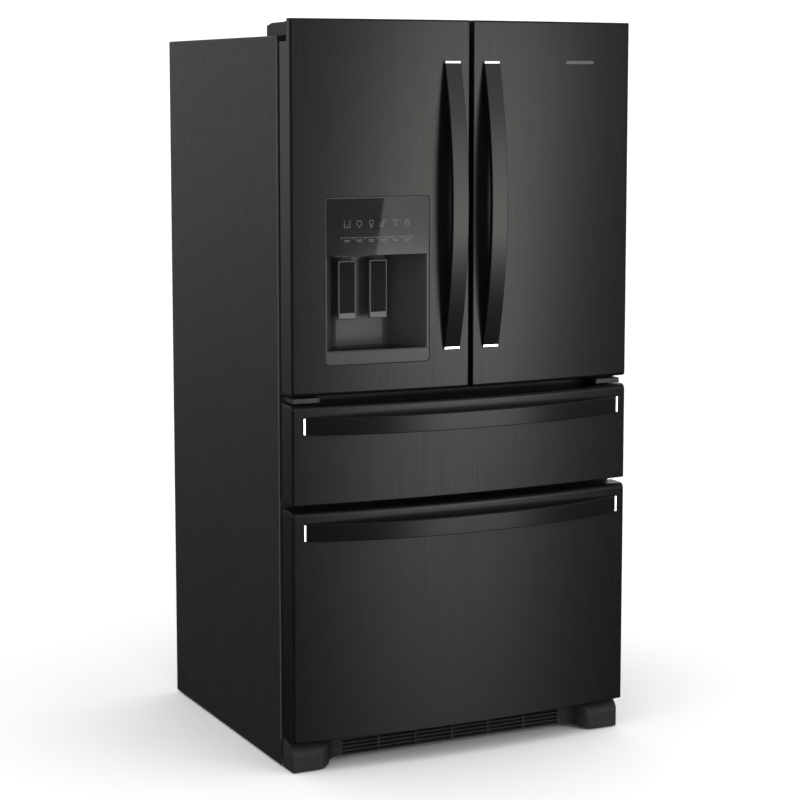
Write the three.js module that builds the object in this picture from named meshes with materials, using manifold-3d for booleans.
/*
 * French door refrigerator with a middle drawer, a freezer drawer and a dispenser.
 *
 * Millimetres, +Z up. The front faces -Y and the dispenser is in the door on the -X side.
 * The origin lies on the floor, below the middle of the box that holds the whole object.
 * "Out" distances are measured from the middle plane x = 0, and side is -1 (left) or 1 (right).
 */
import * as THREE from 'three';
import { mergeVertices } from 'three/addons/utils/BufferGeometryUtils.js';
import Module from 'manifold-3d';

const wasm = await Module();
wasm.setup();

/* ---------- driving dimensions ---------- */

const WIDTH = 905;
const HEIGHT = 1780;
const DEPTH = 891;
const CABINET_DEPTH = 733;
const CABINET_TOP = 1742;
const CABINET_BOTTOM = 4;
const HALF = WIDTH / 2;
const Y_REAR = DEPTH / 2;
const Y_CABINET = Y_REAR - CABINET_DEPTH;
const Y_HANDLE = -DEPTH / 2;

const GAP = 0.3;                 // clearance kept between pieces that touch
const STEEL = 1.5;               // cabinet sheet
const SKIN = 2;                  // door sheet with its folded edges
const PLASTIC = 3;               // liners, bins and tubs

const GASKET_GAP = 18;           // cabinet face to the back of the doors
const Y_BACK = Y_CABINET - GASKET_GAP;
const HANDLE_OUT = 49.5;         // handle crown to the crown of the front
const Y_FRONT = Y_HANDLE + HANDLE_OUT;
const FRONT_SAG = 30;            // how far the fronts bow out over the whole width
const FRONT_RADIUS = (HALF ** 2 + FRONT_SAG ** 2) / (2 * FRONT_SAG);
const EDGE_ROUND = 8;

const DOOR = { z0: 908, z1: HEIGHT, inner: 5.5 };
const MIDDLE = { z0: 650, z1: 886 };
const FREEZER = { z0: 79, z1: 634 };

/* Compartments inside the liners: half width, rear wall, floor and ceiling. */
const FRESH_ROOM = { x: 408, y: 372, z0: 928, z1: 1702 };
const MIDDLE_ROOM = { x: 408, y: 330, z0: 672, z1: 856 };
const FREEZER_ROOM = { x: 405, y: 306, z0: 108, z1: 607 };
const FREEZER_STEP = { y0: 150, y1: 165, z: 300 };
const MACHINE_ROOM = { y: 205, z: 265 };
const FOAM_BOTTOM = 66.3;

/* Hinge line of the doors, and the notch in each door's top corner around the hinge. */
const PIN = { out: 430, y: Y_BACK - 22, r: 5, bore: 5.6 };
const NOTCH = { out: 372, y: PIN.y - 20, z: 1728 };

const SEAL = { inner: 9, outer: 426, width: 14 };

/* Dispenser in the left door. */
const DISPENSER = { x0: -371, x1: -110, z0: 979, z1: 1370, rear: -274 };
const ALCOVE = { x0: -378, x1: -117, backX0: -311, backX1: -169, backY: -280, z0: 1011, z1: 1234 };
const TRAY = { drop: 7.7, inset: 9 };
const PADDLE = { left: -288, right: -206.5, half: 23.5, y: -312, low: 1077.5, high: 1217.5, pivot: 1244 };

const BAR = { thick: 13, tip: 4, tall: 41, gap: 0.5 };
const DOOR_BAR = { inner: 31, outer: 73, z0: 1005, z1: 1684 };
const DRAWER_BAR = { half: 426, middleZ: 817, freezerZ: 564.5 };

const ROLLER = { out0: 409.5, out1: 430.5, r: 22.5, frontY: -200, rearY: 395, lift: 2 };
const LEG = { out: 415, y: -255, pad: 16, padTall: 8, rod: 6, top: 50 };

/* ---------- solids and meshes ---------- */

/* A closed geometry as a solid that can be joined and cut. */
function solid(geometry) {
  geometry.deleteAttribute('normal');
  geometry.deleteAttribute('uv');
  const merged = mergeVertices(geometry, 1e-4);
  return new wasm.Manifold(new wasm.Mesh({
    numProp: 3,
    vertProperties: new Float32Array(merged.attributes.position.array),
    triVerts: new Uint32Array(merged.index.array),
  }));
}

/* A box between two corners. */
function block(x0, x1, y0, y1, z0, z1) {
  const geometry = new THREE.BoxGeometry(x1 - x0, y1 - y0, z1 - z0);
  geometry.translate((x0 + x1) / 2, (y0 + y1) / 2, (z0 + z1) / 2);
  return solid(geometry);
}

/* The two x values of a stretch that runs from out0 to out1 on one side. */
function stretch(side, out0, out1) {
  return side < 0 ? [-out1, -out0] : [out0, out1];
}

/* A box on one side, given by its distances from the middle plane. */
function sideBlock(side, out0, out1, y0, y1, z0, z1) {
  return block(...stretch(side, out0, out1), y0, y1, z0, z1);
}

function extrude(shape, depth) {
  return new THREE.ExtrudeGeometry(shape, { depth, bevelEnabled: false, curveSegments: 6 });
}

/* An outline in plan (x, y) raised from z0 to z1. */
function raised(shape, z0, z1) {
  return solid(extrude(shape, z1 - z0).translate(0, 0, z0));
}

/* An outline in the side view (y, z) run from x0 to x1. */
function run(shape, x0, x1) {
  const turn = new THREE.Matrix4().makeBasis(
    new THREE.Vector3(0, 1, 0), new THREE.Vector3(0, 0, 1), new THREE.Vector3(1, 0, 0));
  return solid(extrude(shape, x1 - x0).applyMatrix4(turn).translate(x0, 0, 0));
}

/* An outline in the front view (x, z) pushed from y0 to y1. */
function pushed(shape, y0, y1) {
  const turn = new THREE.Matrix4().makeBasis(
    new THREE.Vector3(1, 0, 0), new THREE.Vector3(0, 0, 1), new THREE.Vector3(0, -1, 0));
  return solid(extrude(shape, y1 - y0).applyMatrix4(turn).translate(0, y1, 0));
}

function polygon(points) {
  return new THREE.Shape(points.map(([u, v]) => new THREE.Vector2(u, v)));
}

/* Round rods along each axis. */
function rodX(radius, x0, x1, y, z, sides = 12) {
  const geometry = new THREE.CylinderGeometry(radius, radius, x1 - x0, sides).rotateZ(Math.PI / 2);
  return solid(geometry.translate((x0 + x1) / 2, y, z));
}

function rodZ(radius, x, y, z0, z1, sides = 12) {
  const geometry = new THREE.CylinderGeometry(radius, radius, z1 - z0, sides).rotateX(Math.PI / 2);
  return solid(geometry.translate(x, y, (z0 + z1) / 2));
}

function join(...solids) {
  return solids.reduce((whole, piece) => whole.add(piece));
}

function cut(whole, ...tools) {
  return tools.reduce((left, tool) => left.subtract(tool), whole);
}

/* An open-topped box with walls of one thickness. */
function tub(x0, x1, y0, y1, z0, z1, wall = PLASTIC) {
  const room = block(x0 + wall, x1 - wall, y0 + wall, y1 - wall, z0 + wall, z1 + 1);
  return cut(block(x0, x1, y0, y1, z0, z1), room);
}

const object = new THREE.Group();

const FINISH = {
  paint: { color: 0x2f2f2e, roughness: 0.45, metalness: 0.3 },
  gloss: { color: 0x3a3a3a, roughness: 0.28, metalness: 0.6 },
  bar: { color: 0x1c1c1c, roughness: 0.3, metalness: 0.5 },
  glass: { color: 0x141416, roughness: 0.1, metalness: 0.0 },
  black: { color: 0x232323, roughness: 0.6, metalness: 0.0 },
  rubber: { color: 0x1a1a1a, roughness: 0.8, metalness: 0.0 },
  liner: { color: 0xe6e8e8, roughness: 0.4, metalness: 0.0 },
  clear: { color: 0xc8d4da, roughness: 0.15, metalness: 0.0 },
  foam: { color: 0xd9c98a, roughness: 0.9, metalness: 0.0 },
  zinc: { color: 0x9a9c9e, roughness: 0.4, metalness: 0.9 },
  grey: { color: 0x6f6f6d, roughness: 0.35, metalness: 0.6 },
};

/* Puts a finished solid into the object as a named mesh. */
function place(name, shape, finish) {
  const { vertProperties, triVerts } = shape.getMesh();
  const geometry = new THREE.BufferGeometry();
  geometry.setAttribute('position', new THREE.BufferAttribute(vertProperties, 3));
  geometry.setIndex(new THREE.BufferAttribute(triVerts, 1));
  geometry.computeVertexNormals();
  const mesh = new THREE.Mesh(geometry, new THREE.MeshStandardMaterial(FINISH[finish]));
  mesh.name = name;
  object.add(mesh);
}

/* ---------- bowed fronts ---------- */

/* The front surface at x, moved back by inset. All fronts share this one arc. */
function frontY(x, inset = 0) {
  return Y_FRONT + FRONT_RADIUS - Math.sqrt((FRONT_RADIUS - inset) ** 2 - x ** 2);
}

/* Points along the front arc from x0 to x1. */
function frontPoints(x0, x1, inset) {
  const steps = Math.max(2, Math.ceil((x1 - x0) / 60));
  return Array.from({ length: steps + 1 }, (_, i) => {
    const x = x0 + (x1 - x0) * (i / steps);
    return [x, frontY(x, inset)];
  });
}

/* Plan of a panel: a flat back, straight sides and a bowed front with rounded edges. */
function panelShape(x0, x1, inset, back, round = EDGE_ROUND) {
  const shape = new THREE.Shape();
  shape.moveTo(x0, back);
  shape.lineTo(x0, frontY(x0, inset) + round);
  shape.quadraticCurveTo(x0, frontY(x0, inset), x0 + round, frontY(x0 + round, inset));
  frontPoints(x0 + round, x1 - round, inset).slice(1).forEach(([x, y]) => shape.lineTo(x, y));
  shape.quadraticCurveTo(x1, frontY(x1, inset), x1, frontY(x1, inset) + round);
  shape.lineTo(x1, back);
  return shape;
}

/* A sheet that follows the front arc between two insets. */
function frontSheet(x0, x1, inset0, inset1, z0, z1) {
  const outside = frontPoints(x0, x1, inset0);
  const inside = frontPoints(x0, x1, inset1).reverse();
  return raised(polygon([...outside, ...inside]), z0, z1);
}

/* Outline of a bowed bar in [along, y], whose ends stand on the surface behind it. */
function barShape(middle, half, surface) {
  const foot = (u) => surface(u) - BAR.gap;
  const sag = foot(half) - BAR.tip - Y_HANDLE;
  const radius = (half ** 2 + sag ** 2) / (2 * sag);
  const curve = (u, depth) => Y_HANDLE + radius - Math.sqrt((radius - depth) ** 2 - u ** 2);
  let low = 0;
  let high = half;
  while (high - low > 0.01) {
    const u = (low + high) / 2;
    if (curve(u, BAR.thick) < foot(u)) low = u;
    else high = u;
  }
  const line = (from, to, steps, y) => Array.from({ length: steps + 1 }, (_, i) => {
    const u = from + (to - from) * (i / steps);
    return [middle + u, y(u)];
  });
  return polygon([
    ...line(-half, half, 20, (u) => curve(u, 0)),
    ...line(half, low, 2, foot),
    ...line(low, -low, 16, (u) => curve(u, BAR.thick)).slice(1, -1),
    ...line(-low, -half, 2, foot),
  ]);
}

/* ---------- cabinet ---------- */

function outerCase() {
  const shell = cut(
    block(-HALF, HALF, Y_CABINET, Y_REAR, CABINET_BOTTOM, CABINET_TOP),
    block(-HALF + STEEL, HALF - STEEL, Y_CABINET + STEEL, Y_REAR + 1,
      CABINET_BOTTOM - 1, CABINET_TOP - STEEL),
    block(-HALF + STEEL, HALF - STEEL, Y_CABINET - 1, Y_CABINET + 2 * STEEL,
      CABINET_BOTTOM - 1, FOAM_BOTTOM),
  );
  const openings = [FRESH_ROOM, MIDDLE_ROOM, FREEZER_ROOM].map((room) =>
    block(-room.x, room.x, Y_CABINET - 1, Y_CABINET + 2 * STEEL, room.z0, room.z1));
  return cut(shell, ...openings);
}

/* The two upper rooms share one moulded liner. grow widens it to clear its neighbours. */
function fridgeLinerBody(grow) {
  const wall = PLASTIC + grow;
  const front = Y_CABINET + STEEL + GAP - grow;
  const half = FRESH_ROOM.x + wall;
  return join(
    block(-half, half, front, FRESH_ROOM.y + wall, FRESH_ROOM.z0 - wall, FRESH_ROOM.z1 + wall),
    block(-half, half, front, MIDDLE_ROOM.y + wall, MIDDLE_ROOM.z0 - wall, MIDDLE_ROOM.z1 + wall),
    block(-half, half, front, MIDDLE_ROOM.y + wall, MIDDLE_ROOM.z1, FRESH_ROOM.z0),
  );
}

function fridgeLiner() {
  const rooms = [FRESH_ROOM, MIDDLE_ROOM].map((room) =>
    block(-room.x, room.x, Y_CABINET - 1, room.y, room.z0, room.z1));
  return cut(fridgeLinerBody(0), ...rooms);
}

/* Side view of the freezer room, whose floor steps up over the machine room. */
function freezerShape(front, wall) {
  const { y0, y1, z } = FREEZER_STEP;
  return polygon([
    [front, FREEZER_ROOM.z0 - wall],
    [y0 + wall, FREEZER_ROOM.z0 - wall],
    [y1 + wall, z - wall],
    [FREEZER_ROOM.y + wall, z - wall],
    [FREEZER_ROOM.y + wall, FREEZER_ROOM.z1 + wall],
    [front, FREEZER_ROOM.z1 + wall],
  ]);
}

function freezerLiner() {
  const half = FREEZER_ROOM.x + PLASTIC;
  const body = run(freezerShape(Y_CABINET + STEEL + GAP, PLASTIC), -half, half);
  const room = run(freezerShape(Y_CABINET - 1, 0), -FREEZER_ROOM.x, FREEZER_ROOM.x);
  const vents = [-3, -1, 1, 3].flatMap((i) => [330, 560].map((z) =>
    block(i * 70 - 50, i * 70 + 50, FREEZER_ROOM.y - 1, FREEZER_ROOM.y + PLASTIC + 1, z, z + 12)));
  return cut(body, room, ...vents);
}

const EVAPORATOR = { half: 330, y0: 314, y1: 356, z0: 325, z1: 590 };

function cabinetInsulation() {
  const half = HALF - STEEL - GAP;
  const wall = PLASTIC + GAP;
  const freezerHalf = FREEZER_ROOM.x + wall;
  return cut(
    block(-half, half, Y_CABINET + STEEL + GAP, Y_REAR - STEEL - GAP,
      FOAM_BOTTOM, CABINET_TOP - STEEL - GAP),
    fridgeLinerBody(GAP),
    run(freezerShape(Y_CABINET, wall), -freezerHalf, freezerHalf),
    block(-HALF, HALF, MACHINE_ROOM.y, Y_REAR + 1, 0, MACHINE_ROOM.z),
    block(-EVAPORATOR.half - 6, EVAPORATOR.half + 6, FREEZER_ROOM.y, EVAPORATOR.y1 + 6,
      EVAPORATOR.z0 - 6, EVAPORATOR.z1 + 6),
  );
}

function rearPanel() {
  const half = HALF - STEEL - GAP;
  return block(-half, half, Y_REAR - STEEL, Y_REAR, MACHINE_ROOM.z + 1, CABINET_TOP - STEEL - GAP);
}

function machineCover() {
  const half = HALF - STEEL - GAP;
  const slots = [-330, -210, -90, 90, 210, 330].flatMap((x) => [80, 110, 140, 170, 200].map((z) =>
    block(x - 45, x + 45, Y_REAR - 3 * STEEL, Y_REAR + 1, z, z + 9)));
  return cut(block(-half, half, Y_REAR - STEEL, Y_REAR, 14, MACHINE_ROOM.z), ...slots);
}

/* ---------- base, rollers and feet ---------- */

function rollerCentre(front) {
  return ROLLER.r + (front ? ROLLER.lift : 0);
}

function rollerFork(side, front) {
  const y = front ? ROLLER.frontY : ROLLER.rearY;
  const z = rollerCentre(front);
  const cheek = (out) => sideBlock(side, out, out + 3.5, y - 12, y + 12, z - 9, 45);
  const axle = rodX(4, ...stretch(side, ROLLER.out0 - 4, ROLLER.out1 + 4), y, z, 10);
  return join(cheek(ROLLER.out0 - 4.5), cheek(ROLLER.out1 + 1), axle);
}

function baseFrame() {
  const top = 65.7;
  const rails = [-1, 1].map((side) => sideBlock(side, 396, 444, Y_CABINET + 12, 436, 40, top));
  const bars = [-262, 180].map((y) => block(-400, 400, y, y + 22, 46, top));
  const pan = block(-400, 400, MACHINE_ROOM.y + 3, 436, 40, 44);
  const wells = [-1, 1].flatMap((side) => [ROLLER.frontY, ROLLER.rearY].map((y) =>
    sideBlock(side, ROLLER.out0 - 1, ROLLER.out1 + 1, y - 27, y + 27, 39, 54)));
  const bores = [-1, 1].map((side) => rodZ(LEG.rod + 0.4, side * LEG.out, LEG.y, 30, 80));
  const forks = [-1, 1].flatMap((side) => [true, false].map((front) => rollerFork(side, front)));
  return join(cut(join(...rails, ...bars, pan), ...wells, ...bores), ...forks);
}

function roller(side, front) {
  const [x0, x1] = stretch(side, ROLLER.out0, ROLLER.out1);
  const y = front ? ROLLER.frontY : ROLLER.rearY;
  const z = rollerCentre(front);
  return cut(rodX(ROLLER.r, x0, x1, y, z, 24), rodX(4.4, x0 - 1, x1 + 1, y, z, 12));
}

function levellingLeg(side) {
  const x = side * LEG.out;
  return join(
    rodZ(LEG.pad, x, LEG.y, 0, LEG.padTall, 20),
    rodZ(LEG.rod, x, LEG.y, LEG.padTall - 1, LEG.top),
  );
}

/* A plastic shoe in front of each foot, drawn out towards the grille by a hollow curve. */
function footCover(side) {
  const top = FREEZER.z0 - 4;
  const plan = new THREE.Shape();
  plan.moveTo(side * 449, Y_CABINET - 0.8);
  plan.lineTo(side * 449, -345);
  plan.quadraticCurveTo(side * 449, -351, side * 442, -351);
  plan.lineTo(side * 380, -351);
  plan.quadraticCurveTo(side * 352, -350, side * 342, -322);
  plan.quadraticCurveTo(side * 336, -307, side * 312, -306);
  plan.lineTo(side * 312, Y_CABINET - 0.8);
  const profile = new THREE.Shape();
  profile.moveTo(-352, 2);
  profile.lineTo(-352, 34);
  profile.quadraticCurveTo(-349, 62, -318, top);
  profile.lineTo(-280, top);
  profile.lineTo(-280, 2);
  const face = new THREE.Shape();
  face.moveTo(side * 460, 0);
  face.lineTo(side * 376, 0);
  face.quadraticCurveTo(side * 352, 13, side * 300, 14);
  face.lineTo(side * 300, 90);
  face.lineTo(side * 460, 90);
  const [x0, x1] = stretch(side, 300, 460);
  const outside = raised(plan, 3, top).intersect(run(profile, x0, x1)).intersect(pushed(face, -360, -280));
  return cut(outside, sideBlock(side, 384, 445, -346, -280, -5, 50));
}

function baseGrille() {
  const rows = [17, 26.5, 36, 45.5];
  const slots = rows.flatMap((z) => Array.from({ length: 6 }, (_, i) =>
    block(-300 + i * 101, -300 + i * 101 + 95, -310, -290, z, z + 5)));
  return cut(block(-311.5, 311.5, -306, -302, 13, FREEZER.z0 - 4), ...slots);
}

/* ---------- hinges ---------- */

/*
 * Plan of a piece that reaches from the cabinet top to the door pin: a rounded nose about the pin,
 * and a body behind it that stays inside the swing of the door's outer corner.
 */
const HINGE_BODY = { out: PIN.out + 4, rear: -205 };

function nosePoints(side, round, from, to) {
  return Array.from({ length: 10 }, (_, i) => {
    const turn = from + (to - from) * (i / 9);
    return [side * (PIN.out + round * Math.cos(turn)), PIN.y - round * Math.sin(turn)];
  });
}

function strapShape(side) {
  return polygon([
    [side * 404, HINGE_BODY.rear],
    [side * (HINGE_BODY.out - 2.5), HINGE_BODY.rear],
    [side * (HINGE_BODY.out - 2.5), PIN.y + 14],
    ...nosePoints(side, 12, -0.4 * Math.PI, Math.PI),
    [side * 404, -296],
  ]);
}

function topHinge(side) {
  const z0 = CABINET_TOP + 0.4;
  return join(
    raised(strapShape(side), z0, z0 + 4),
    rodZ(PIN.r, side * PIN.out, PIN.y, 1700, z0 + 8),
  );
}

/* Plan of the hinge cover, which wraps the strap and its nose. */
function coverShape(side, inset) {
  const round = 16.5 - inset;
  return polygon([
    [side * (388 + inset), HINGE_BODY.rear + 20 - inset],
    [side * (HINGE_BODY.out - inset + 0.5), HINGE_BODY.rear + 20 - inset],
    [side * (HINGE_BODY.out - inset + 0.5), PIN.y + 18],
    ...nosePoints(side, round, -0.36 * Math.PI, 0.5 * Math.PI),
    [side * (388 + inset), PIN.y - round],
  ]);
}

function hingeCover(side) {
  const z0 = CABINET_TOP + GAP;
  const slope = polygon([[-360, z0 - 1], [-180, z0 - 1], [-180, 1766], [-215, 1773], [-360, 1775]]);
  const outside = raised(coverShape(side, 0), z0, 1776).intersect(
    run(slope, ...stretch(side, 380, 460)));
  return cut(outside, raised(coverShape(side, 2.2), z0 - 1, 1763));
}

function centreHinge(side) {
  return join(
    sideBlock(side, 376, 443, -352, Y_CABINET - 0.5, 889, 901),
    sideBlock(side, 376, 443, Y_CABINET - 4.5, Y_CABINET - 0.5, 881, 905),
    rodZ(10, side * PIN.out, PIN.y, 900, 907, 16),
    rodZ(PIN.r, side * PIN.out, PIN.y, 906, 932),
  );
}

/* ---------- doors ---------- */

/* The space inside a door's skin, drawn in by grow on every closed side. */
function doorCore(side, grow) {
  const [x0, x1] = stretch(side, DOOR.inner, HALF);
  const t = SKIN + grow;
  const back = grow > 0 ? Y_BACK : Y_BACK + 5;
  const core = raised(panelShape(x0 + t, x1 - t, t, back, EDGE_ROUND - 2), DOOR.z0 + t, DOOR.z1 - t);
  return cut(core,
    sideBlock(side, NOTCH.out - t, HALF + 10, NOTCH.y - t, Y_BACK + 10, NOTCH.z - t, HEIGHT + 10));
}

function pinBores(side) {
  return [[1698, 1740], [900, 934]].map(([z0, z1]) => rodZ(PIN.bore, side * PIN.out, PIN.y, z0, z1));
}

function doorSkin(side) {
  const [x0, x1] = stretch(side, DOOR.inner, HALF);
  return cut(raised(panelShape(x0, x1, 0, Y_BACK), DOOR.z0, DOOR.z1),
    sideBlock(side, NOTCH.out, HALF + 10, NOTCH.y, Y_BACK + 10, NOTCH.z, HEIGHT + 10),
    doorCore(side, 0),
    ...pinBores(side));
}

/* Foam core and inner panel, with the two upright ribs that carry the bins. */
function doorLiner(side) {
  const ribs = [[44, 56], [392, 404]].map(([a, b]) =>
    sideBlock(side, a, b, Y_BACK - 5, Y_BACK + 90, 1120, 1690));
  const crossRib = sideBlock(side, 44, 404, Y_BACK - 5, Y_BACK + 40, 1684, 1692);
  return cut(join(doorCore(side, GAP), ...ribs, crossRib), ...pinBores(side));
}

/* Lugs on the left door's inner panel that hold the mullion flap's pivots. */
const FLAP = { x: -34, y: -281.5, half: 6, reach: 54, z0: 944, z1: 1688 };

function leftDoorLiner() {
  const bump = block(DISPENSER.x0 - 12, DISPENSER.x1 + 12, Y_BACK - 5, DISPENSER.rear + 16,
    DISPENSER.z0 - 12, DISPENSER.z1 + 12);
  const lugs = [[FLAP.z0 - 8, FLAP.z0 - GAP], [FLAP.z1 + GAP, FLAP.z1 + 8]].map(([z0, z1]) =>
    block(FLAP.x - 6, FLAP.x + 6, Y_BACK - 5, FLAP.y + 6, z0, z1));
  const pocket = block(DISPENSER.x0 - 0.6, DISPENSER.x1 + 0.6, -420, DISPENSER.rear + 0.6,
    DISPENSER.z0 - 0.6, DISPENSER.z1 + 0.6);
  return cut(join(doorLiner(-1), bump, ...lugs), pocket);
}

function leftDoorSkin() {
  return cut(doorSkin(-1), block(DISPENSER.x0 - GAP, DISPENSER.x1 + GAP, -420, -340,
    DISPENSER.z0 - GAP, DISPENSER.z1 + GAP));
}

/* A sealing ring of one width around an opening, pressed between a front and the cabinet. */
function gasket(x0, x1, z0, z1) {
  const y0 = Y_BACK + GAP;
  const y1 = Y_CABINET - GAP;
  const w = SEAL.width;
  return cut(block(x0, x1, y0, y1, z0, z1), block(x0 + w, x1 - w, y0 - 1, y1 + 1, z0 + w, z1 - w));
}

function doorHandle(side) {
  const middle = (DOOR_BAR.z0 + DOOR_BAR.z1) / 2;
  const half = (DOOR_BAR.z1 - DOOR_BAR.z0) / 2;
  const shape = barShape(0, half, () => Y_FRONT);
  const upright = polygon(shape.getPoints().map((point) => [point.y, middle + point.x]));
  return run(upright, ...stretch(side, DOOR_BAR.inner, DOOR_BAR.outer));
}

function mullionFlap() {
  const { x, y, half, reach, z0, z1 } = FLAP;
  return join(
    block(x - half, x + half, y, y + reach, z0, z1),
    rodZ(half, x, y, z0, z1, 16),
  );
}

/* ---------- dispenser ---------- */

/* Plan of the alcove, which narrows towards its back wall; front is where it starts. */
function alcoveShape(front, slack) {
  const { x0, x1, backX0, backX1, backY } = ALCOVE;
  const lean = (x, backX) => x + (backX - x) * ((front - Y_FRONT) / (backY - Y_FRONT));
  return polygon([
    [lean(x0, backX0) + slack, front + slack],
    [lean(x1, backX1) - slack, front + slack],
    [backX1 - slack, backY - slack],
    [backX0 + slack, backY - slack],
  ]);
}

/* The sunken floor of the alcove, whose front keeps behind the bowed front. */
function trayBody(slack, z0, z1) {
  const { x0, x1, rear } = DISPENSER;
  const behindFront = raised(panelShape(x0, x1, TRAY.inset + slack, rear, 1), z0, z1);
  return raised(alcoveShape(Y_FRONT - 10, slack), z0, z1).intersect(behindFront);
}

function dispenserHousing() {
  const { x0, x1, z0, z1, rear } = DISPENSER;
  const slots = [PADDLE.left, PADDLE.right].map((x) =>
    block(x - 15, x + 15, PADDLE.y - 10, PADDLE.y + 10, 1230, 1258));
  return cut(
    raised(panelShape(x0, x1, 0, rear, 1), z0, z1),
    raised(alcoveShape(Y_FRONT - 10, 0), ALCOVE.z0, ALCOVE.z1),
    trayBody(0, ALCOVE.z0 - TRAY.drop, ALCOVE.z0 + 1),
    frontSheet(x0 + 3, x1 - 3, -3, 4.3, ALCOVE.z1 + 3.7, z1 - 3),
    ...slots,
  );
}

function dispenserPanel() {
  const { x0, x1, z1 } = DISPENSER;
  return frontSheet(x0 + 3.3, x1 - 3.3, 0, 4, ALCOVE.z1 + 4, z1 - 3.3);
}

function dripTray() {
  const slots = Array.from({ length: 7 }, (_, i) => block(-296 + i * 17, -288 + i * 17, -350, -292,
    ALCOVE.z0 - TRAY.drop - 1, ALCOVE.z0 + 1));
  return cut(trayBody(0.5, ALCOVE.z0 - TRAY.drop + GAP, ALCOVE.z0), ...slots);
}

/* A push paddle hung from a pivot above the alcove. x is its middle. */
function paddle(x) {
  const { half, y, low, high, pivot } = PADDLE;
  return join(
    block(x - half, x + half, y - 4, y + 4, low, high),
    block(x - 12, x + 12, y - 3, y + 3, high - 1, pivot),
    rodX(4, x - 12, x + 12, y, pivot, 16),
  );
}

/* ---------- storage in the doors and compartments ---------- */

function doorBin(side, z0, z1) {
  return tub(...stretch(side, 60, 388), Y_BACK + 2, Y_BACK + 100, z0, z1);
}

function iceBucket() {
  return tub(...stretch(-1, 62, 386), Y_BACK + 2, Y_BACK + 106, 1390, 1580, 4);
}

function shelf(z) {
  const half = FRESH_ROOM.x - 4;
  const [y0, y1] = [-165, FRESH_ROOM.y - 6];
  return join(
    block(-half, half, y0, y1, z, z + 6),
    block(-half, half, y0, y0 + 16, z - 6, z + 10),
    block(-half, half, y1 - 12, y1, z - 4, z + 14),
    block(-half, -half + 12, y0, y1, z - 4, z + 8),
    block(half - 12, half, y0, y1, z - 4, z + 8),
  );
}

function crisper(side) {
  const [x0, x1] = stretch(side, 6, 398);
  const pull = block(x0 + 120, x1 - 120, -112, -98, 1076, 1096);
  return join(tub(x0, x1, -100, 340, 932, 1098), pull);
}

/* Fixed rails on both walls, tied together behind the drawer. */
function slideFrame(out0, out1, y0, y1, z0, z1) {
  const rails = [-1, 1].map((side) => sideBlock(side, out0, out1, y0, y1, z0, z1));
  return join(...rails, block(-out0 - 1, out0 + 1, y1 - 12, y1, z0, z1));
}

const MIDDLE_TUB = { half: 384, y1: 230, z0: 684, z1: 846 };
const FREEZER_TUB = { half: 378, y1: 118, z0: 128, z1: 330 };

/* A drawer tub with the moving half of its slides on its sides. */
function drawerTub(size, runnerZ) {
  const runners = [-1, 1].map((side) =>
    sideBlock(side, size.half - 1, size.half + 6, Y_BACK + 8, size.y1 - 8, runnerZ, runnerZ + 18));
  return join(tub(-size.half, size.half, Y_BACK + GAP, size.y1, size.z0, size.z1), ...runners);
}

function drawerHandle(z0) {
  return raised(barShape(0, DRAWER_BAR.half, (x) => frontY(x)), z0, z0 + BAR.tall);
}

/* ---------- machine room and evaporator ---------- */

/* Fins on straight tubes. */
function coil(half, middle, y0, y1, z0, z1, fins, tubes) {
  const plates = Array.from({ length: fins }, (_, i) => {
    const x = middle - half + 2 * half * (i / (fins - 1));
    return block(x - 1, x + 1, y0, y1, z0, z1);
  });
  const pipes = Array.from({ length: tubes }, (_, i) => {
    const z = z0 + (z1 - z0) * ((i + 0.5) / tubes);
    return rodX(4, middle - half - 6, middle + half + 6, (y0 + y1) / 2, z, 6);
  });
  return join(...plates, ...pipes);
}

function compressor() {
  const profile = [
    [0, 0], [58, 0], [66, 10], [68, 40], [74, 44], [74, 50], [68, 54],
    [66, 96], [52, 122], [26, 136], [0, 140],
  ].map(([r, z]) => new THREE.Vector2(r, z));
  const can = new THREE.LatheGeometry(profile, 18).rotateX(Math.PI / 2);
  const x = 250;
  const y = 325;
  const feet = [-1, 1].flatMap((i) => [-1, 1].map((j) =>
    rodZ(10, x + i * 70, y + j * 55, 44.3, 60, 12)));
  const plate = block(x - 82, x + 82, y - 66, y + 66, 58, 62);
  return join(solid(can.translate(x, y, 60)), plate, ...feet);
}

const FAN = { x: -100, y: 325, z: 135, r: 68 };

function fanMotor() {
  const shroud = cut(
    block(-130, -126, FAN.y - 84, FAN.y + 84, 44.5, 226),
    rodX(FAN.r + 5, -140, -110, FAN.y, FAN.z, 16),
  );
  const reach = FAN.r + 5;
  const arms = [-reach - 6, reach].map((z) =>
    block(-128, -66, FAN.y - 4, FAN.y + 4, FAN.z + z, FAN.z + z + 6));
  const post = block(-74, -66, FAN.y - 4, FAN.y + 4, FAN.z - reach - 6, FAN.z + reach + 6);
  return join(shroud, ...arms, post, rodX(22, -90, -60, FAN.y, FAN.z, 16));
}

function fanBlade() {
  const blades = Array.from({ length: 5 }, (_, i) => {
    const geometry = new THREE.BoxGeometry(3, 34, FAN.r - 16);
    geometry.translate(0, 0, (FAN.r + 16) / 2 - 2);
    geometry.rotateZ(0.5);
    geometry.rotateX((i / 5) * 2 * Math.PI);
    return solid(geometry.translate(FAN.x - 4, FAN.y, FAN.z));
  });
  return join(rodX(20, -116, -92, FAN.y, FAN.z, 16), ...blades);
}

/* ---------- assembly ---------- */

place('outer_case', outerCase(), 'paint');
place('rear_panel', rearPanel(), 'zinc');
place('cabinet_insulation', cabinetInsulation(), 'foam');
place('fridge_liner', fridgeLiner(), 'liner');
place('freezer_liner', freezerLiner(), 'liner');
place('machine_cover', machineCover(), 'black');
place('base_frame', baseFrame(), 'zinc');
place('base_grille', baseGrille(), 'black');

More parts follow.
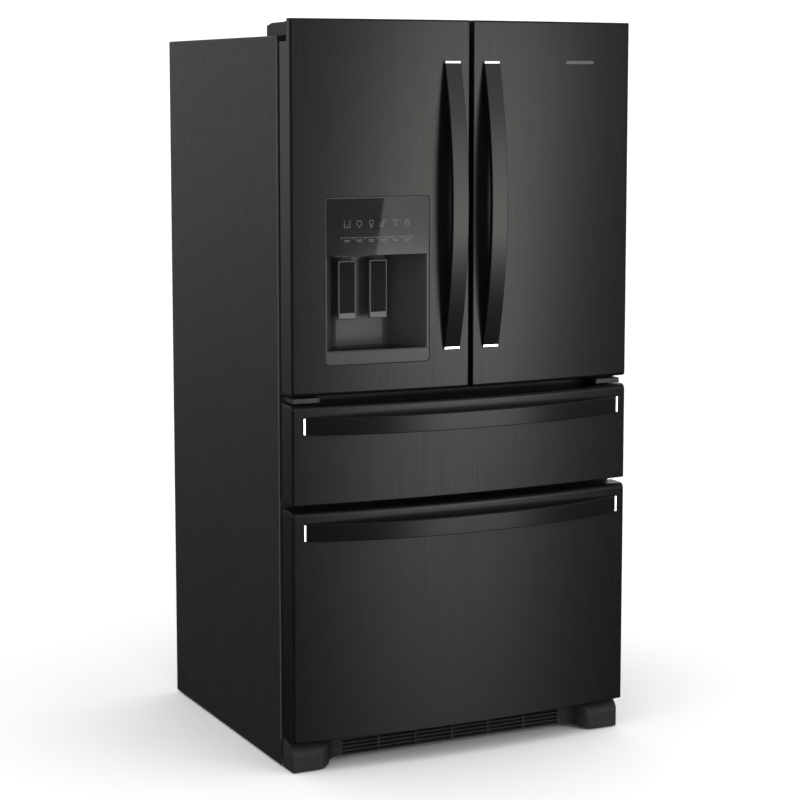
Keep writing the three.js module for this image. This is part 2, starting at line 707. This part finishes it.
for (const [side, name] of [[-1, 'left'], [1, 'right']]) {
  place(`foot_cover_${name}`, footCover(side), 'black');
  place(`levelling_leg_${name}`, levellingLeg(side), 'zinc');
  place(`front_roller_${name}`, roller(side, true), 'black');
  place(`rear_roller_${name}`, roller(side, false), 'black');
  place(`top_hinge_${name}`, topHinge(side), 'zinc');
  place(`hinge_cover_${name}`, hingeCover(side), 'black');
  place(`centre_hinge_${name}`, centreHinge(side), 'black');
  place(`${name}_door_handle`, doorHandle(side), 'bar');
  place(`${name}_door_gasket`, gasket(...stretch(side, SEAL.inner, SEAL.outer), 913, 1720), 'rubber');
  place(`crisper_${name}`, crisper(side), 'clear');
}

place('left_door_skin', leftDoorSkin(), 'gloss');
place('left_door_liner', leftDoorLiner(), 'liner');
place('left_door_bin', doorBin(-1, 1600, 1680), 'clear');
place('ice_bucket', iceBucket(), 'clear');
place('mullion_flap', mullionFlap(), 'black');
place('dispenser_housing', dispenserHousing(), 'grey');
place('dispenser_panel', dispenserPanel(), 'glass');
place('drip_tray', dripTray(), 'black');
place('ice_paddle', paddle(PADDLE.left), 'grey');
place('water_paddle', paddle(PADDLE.right), 'grey');

place('right_door_skin', doorSkin(1), 'gloss');
place('right_door_liner', doorLiner(1), 'liner');
place('right_door_bin_lower', doorBin(1, 1128, 1250), 'clear');
place('right_door_bin_upper', doorBin(1, 1430, 1540), 'clear');

place('shelf_upper', shelf(1330), 'clear');
place('crisper_shelf', shelf(1108), 'clear');

place('middle_drawer_front', raised(panelShape(-HALF, HALF, 0, Y_BACK), MIDDLE.z0, MIDDLE.z1), 'gloss');
place('middle_drawer_gasket', gasket(-SEAL.outer, SEAL.outer, 656, 872), 'rubber');
place('middle_drawer_handle', drawerHandle(DRAWER_BAR.middleZ), 'bar');
place('middle_drawer_tub', drawerTub(MIDDLE_TUB, 742), 'clear');
place('middle_slide_frame', slideFrame(390.5, 407.4, -272, 300, 736, 766), 'zinc');

place('freezer_drawer_front', raised(panelShape(-HALF, HALF, 0, Y_BACK), FREEZER.z0, FREEZER.z1), 'gloss');
place('freezer_drawer_gasket', gasket(-SEAL.outer, SEAL.outer, 92, 623), 'rubber');
place('freezer_drawer_handle', drawerHandle(DRAWER_BAR.freezerZ), 'bar');
place('freezer_drawer_tub', drawerTub(FREEZER_TUB, 290), 'clear');
place('freezer_slide_frame', slideFrame(384.5, 404.4, -272, 142, 284, 314), 'zinc');
place('freezer_basket', tub(-370, 370, -270, 60, 332, 500), 'clear');

place('evaporator', coil(EVAPORATOR.half - 10, 0, EVAPORATOR.y0, EVAPORATOR.y1,
  EVAPORATOR.z0, EVAPORATOR.z1, 8, 3), 'zinc');
place('compressor', compressor(), 'black');
place('condenser', coil(110, -270, 240, 300, 46, 206, 7, 3), 'black');
place('condenser_fan_motor', fanMotor(), 'zinc');
place('condenser_fan_blade', fanBlade(), 'black');

export default object;
